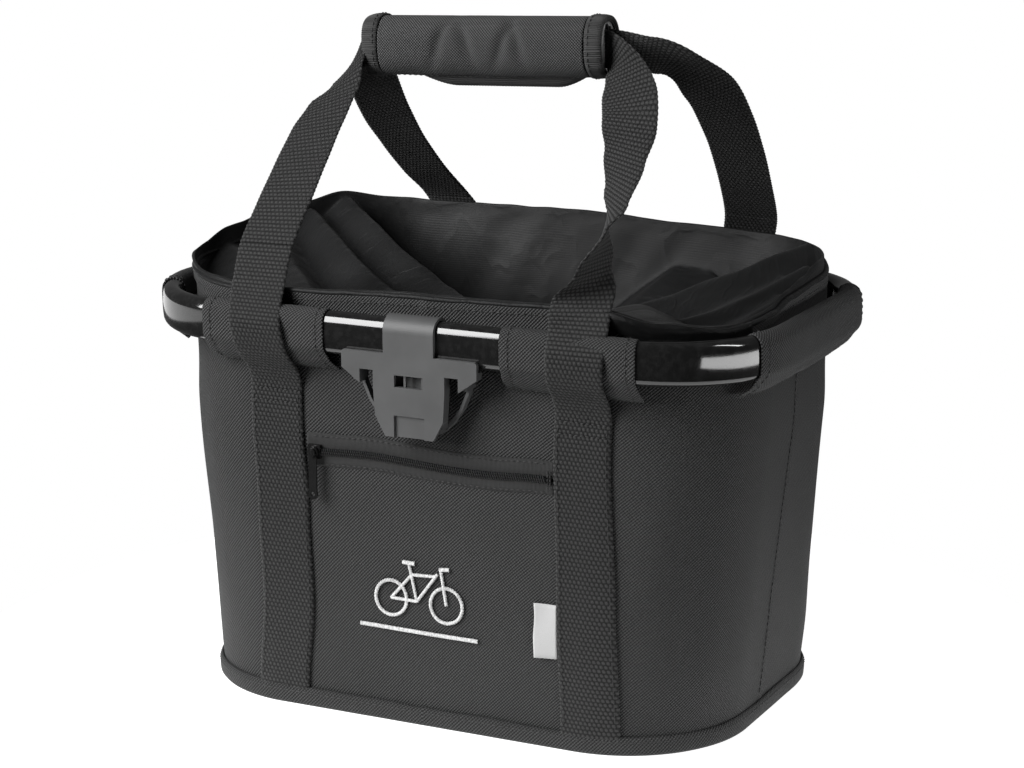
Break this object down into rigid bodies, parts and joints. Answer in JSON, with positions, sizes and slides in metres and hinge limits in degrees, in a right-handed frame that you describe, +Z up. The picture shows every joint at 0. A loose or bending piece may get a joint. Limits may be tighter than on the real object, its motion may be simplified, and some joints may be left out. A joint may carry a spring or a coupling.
{
  "type": "handlebar basket",
  "caption": "Soft fabric basket on a flat-oval tube rim, with a handlebar adapter, a zipped front pocket and a two-strap carry handle with a padded grip.",
  "frame": {"origin": "middle of the base, on the surface that the basket stands on", "axes": "+Z up, +X to the right across the basket's longer side, -Y to the front, where the handlebar adapter is"},
  "size_m": [0.353, 0.2234, 0.3571],
  "materials": {
    "tube": "gloss black anodised",
    "adapter_grey": "moulded, matt",
    "fastener_steel": "zinc plated",
    "joiner_aluminium": "mill finish",
    "oxford_fabric": "coated 600D oxford weave",
    "lining_nylon": "smooth taffeta with a slight sheen",
    "black_webbing": "coarse ribbed webbing",
    "binding_tape": "ribbed grosgrain",
    "base_board": "plain sheet",
    "foam": "soft sheet foam",
    "zip_tape": "fine twill tape",
    "zip_plastic": "nylon coil",
    "zip_metal": "black enamel",
    "touch_tape": "hook and loop",
    "label_satin": "woven satin",
    "emblem_thread": "raised embroidery"
  },
  "bodies": {
    "basket": {"rim_tube": "tube", "rim_joiner": "joiner_aluminium", "rim_rivets": "fastener_steel", "adapter_plate": "adapter_grey", "adapter_jaw": "adapter_grey", "adapter_screws": "fastener_steel", "front_panel": "oxford_fabric", "back_panel": "oxford_fabric", "base_panel": "oxford_fabric", "base_board": "base_board", "base_binding": "oxford_fabric", "stiffener_front": "foam", "stiffener_back": "foam", "stiffener_left": "foam", "stiffener_right": "foam", "lining_bag": "lining_nylon", "cuff": "oxford_fabric", "lining_collar": "lining_nylon", "sleeve_front_left": "oxford_fabric", "sleeve_front_right": "oxford_fabric", "sleeve_left": "oxford_fabric", "sleeve_right": "oxford_fabric", "sleeve_rear_left": "oxford_fabric", "sleeve_rear_right": "oxford_fabric", "pocket_bag": "lining_nylon", "zip_tape_upper": "zip_tape", "zip_tape_lower": "zip_tape", "zip_coils": "zip_plastic", "zip_stops": "zip_metal", "strap_front_left": "black_webbing", "strap_front_right": "black_webbing", "strap_rear_left": "black_webbing", "strap_rear_right": "black_webbing", "handle_leg_front_left": "black_webbing", "handle_leg_front_right": "black_webbing", "handle_leg_rear_left": "black_webbing", "handle_leg_rear_right": "black_webbing", "label_tab": "label_satin", "front_emblem": "emblem_thread"},
    "handle": {"handle_web_front": "black_webbing", "handle_web_rear": "black_webbing", "grip_pad": "foam", "grip_cover": "oxford_fabric", "grip_loop_tape": "touch_tape", "grip_binding_left": "binding_tape", "grip_binding_right": "binding_tape"},
    "flap": {"grip_flap": "oxford_fabric", "grip_hook_tape": "touch_tape"},
    "slider": {"zip_slider": "zip_metal"},
    "puller": {"zip_puller": "zip_metal"}
  },
  "joints": [
    {"name": "handle_drop", "type": "slide", "parent": "basket", "child": "handle", "axis": [0, 0, -1], "range_m": [0, 0.08], "deforming": ["handle_leg_front_left", "handle_leg_front_right", "handle_leg_rear_left", "handle_leg_rear_right"]},
    {"name": "grip_flap_hinge", "type": "hinge", "parent": "handle", "child": "flap", "pos_m": [0.00046, -0.022, 0.35434], "axis": [0.9994, 0, 0.0349], "range_deg": [-110, 0]},
    {"name": "zip_slide", "type": "slide", "parent": "basket", "child": "slider", "axis": [1, 0, 0], "range_m": [0, 0.126]},
    {"name": "puller_swing", "type": "hinge", "parent": "slider", "child": "puller", "pos_m": [-0.061, -0.1011, 0.13811], "axis": [0, -0.9998, 0.0212], "range_deg": [-80, 80]}
  ]
}
